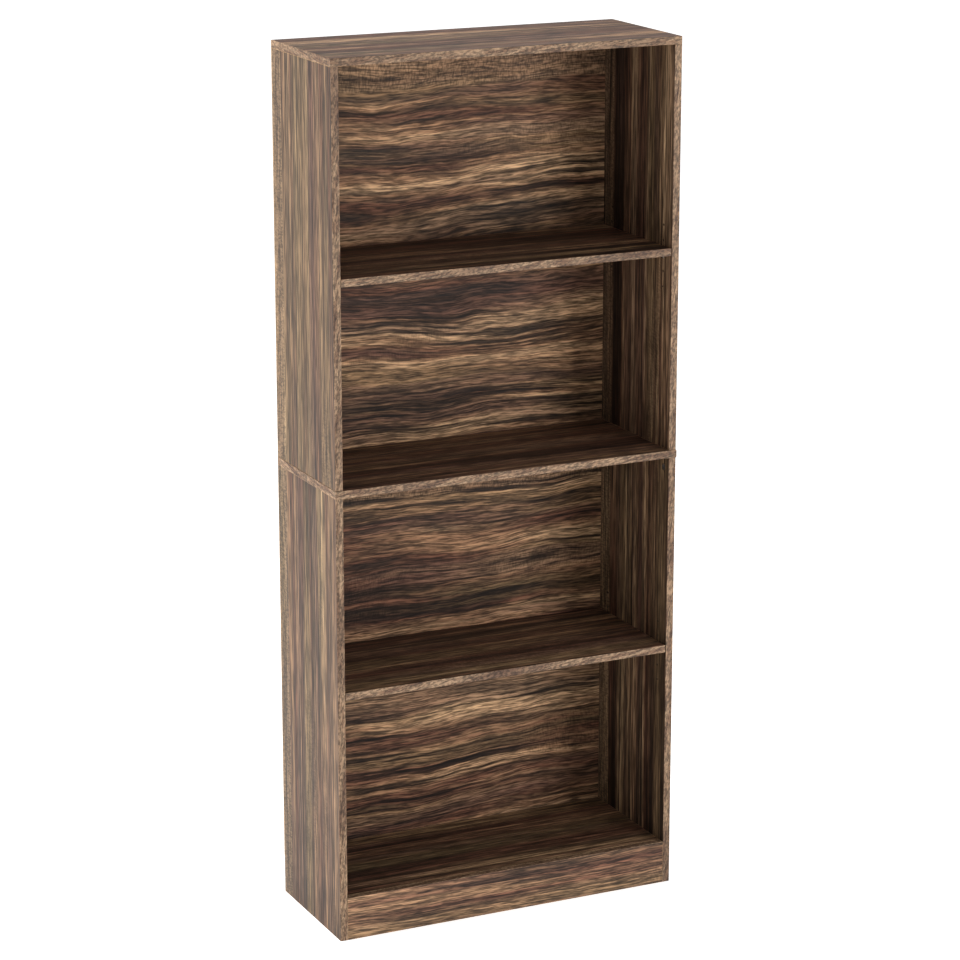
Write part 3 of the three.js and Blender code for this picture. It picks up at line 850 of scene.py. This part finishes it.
def make_camera():
    camera = bpy.data.cameras.new("camera")
    camera.lens = CAMERA_LENS
    camera.sensor_width = CAMERA_SENSOR
    camera.clip_end = CAMERA_REACH
    holder = bpy.data.objects.new("camera", camera)
    holder.location = CAMERA_PLACE
    holder.rotation_euler = (math.radians(90) - CAMERA_PITCH, 0, -CAMERA_AZIMUTH)
    bpy.context.scene.collection.objects.link(holder)
    bpy.context.scene.camera = holder


def make_floor():
    """A wide pale floor, bright enough to read as a white studio sweep."""
    bm = bmesh.new()
    bmesh.ops.create_grid(bm, x_segments=1, y_segments=1, size=FLOOR_SIZE)
    shader = Shader("studio_floor")
    shader.surface.inputs["Base Color"].default_value = (FLOOR_GREY, FLOOR_GREY, FLOOR_GREY, 1)
    shader.surface.inputs["Roughness"].default_value = FLOOR_ROUGHNESS
    shader.surface.inputs["Emission Color"].default_value = (1, 1, 1, 1)
    shader.surface.inputs["Emission Strength"].default_value = FLOOR_GLOW
    floor = new_piece("studio_floor", mesh_from(bm, "floor"), [shader.material])
    floor.location.z = -FLOOR_DROP


def make_world():
    """A white room: plain white where the camera sees it, softer as light."""
    world = bpy.data.worlds.new("studio")
    bpy.context.scene.world = world
    world.use_nodes = True
    tree = world.node_tree
    background = tree.nodes["Background"]
    seen = tree.nodes.new("ShaderNodeLightPath").outputs["Is Camera Ray"]
    strength = tree.nodes.new("ShaderNodeMapRange")
    strength.inputs["To Min"].default_value = ROOM_LIGHT
    strength.inputs["To Max"].default_value = 1.0
    tree.links.new(seen, strength.inputs["Value"])
    tree.links.new(strength.outputs[0], background.inputs["Strength"])
    background.inputs["Color"].default_value = (1, 1, 1, 1)


def add_softbox(name, place, width, height, power):
    """A soft light that looks at the middle of the bookcase."""
    light = bpy.data.lights.new(name, "AREA")
    light.shape = "RECTANGLE"
    light.size = width
    light.size_y = height
    light.energy = power
    holder = bpy.data.objects.new(name, light)
    holder.location = place
    target = (cad_low + cad_high) / 2
    holder.rotation_euler = (target - Vector(place)).to_track_quat("-Z", "Y").to_euler()
    bpy.context.scene.collection.objects.link(holder)


def make_lights():
    for name, (place, width, height, power) in SOFTBOXES.items():
        add_softbox(name, place, width, height, power)


# ---------------------------------------------------------------- the scene

MATERIALS = {
    # The outer faces are toned with less red, cooler and greyer than the inner ones: a painted sheen.
    "outer": laminate("walnut_outer_painted_sheen", 11, wave=7 * MM, streaks=0.5, border=47 * MM, stripes=34,
                      stretch=2.0, spread=0.7, tone=(0.84, 0.93, 0.95), gloss=0.22),
    # The inner faces are the same foil as the outer ones, toned darker: a painted shade inside the bookcase.
    "inner": laminate("walnut_inner_painted_shade", 13, wave=8 * MM, streaks=0.95, border=47 * MM,
                      stretch=1.8, spread=1.5, tone=(0.8, 0.86, 0.9)),
    # The level faces are toned lighter and greyer than the sides: a painted sheen.
    "level": laminate("walnut_level_painted_sheen", 31, wave=14 * MM, streaks=0.8,
                      stretch=1.4, spread=0.9, tone=(1.04, 1.1, 1.15)),
    "wide": laminate("walnut_wide", 51, wave=80 * MM, streaks=0.9, shift=60 * MM, border=120 * MM,
                     figure=0.05, stripes=14, spread=1.35, tone=(1.05, 1.06, 1.06), gloss=0.12),
    "kick": laminate("walnut_kick", 91, wave=30 * MM, streaks=0.8, shift=30 * MM, figure=0.08,
                     spread=0.75, tone=(1.1, 1.12, 1.14)),
    "band": edge_band("walnut_edge_band", 71, tone=(0.71, 0.77, 0.85)),
    "chipboard": chipboard("chipboard", 0.8),
    # the same chipboard, darkened: a painted shade inside the bores
    "bore": chipboard("chipboard_bore_painted_shade", 0.12),
    "hardboard": hardboard(),
    "beech": beech(),
    "nickel": metal("nickel_plate", srgb(168, 164, 156), srgb(206, 203, 196), 0.26, 3 * MM, 0.01 * MM),
    "zinc": metal("zinc_casting", srgb(96, 97, 99), srgb(134, 135, 137), 0.36, 0.8 * MM, 0.04 * MM),
    "steel": metal("steel_wire", srgb(120, 120, 122), srgb(158, 158, 160), 0.36, 1.5 * MM, 0.02 * MM),
}

make_camera()
make_world()
make_lights()
make_floor()
bpy.context.scene.view_settings.view_transform = "Standard"

make_boards()
for pin_node in PIN_NODES:
    make_pin(pin_node)
make_cams()
make_nails()
finish_fasteners()
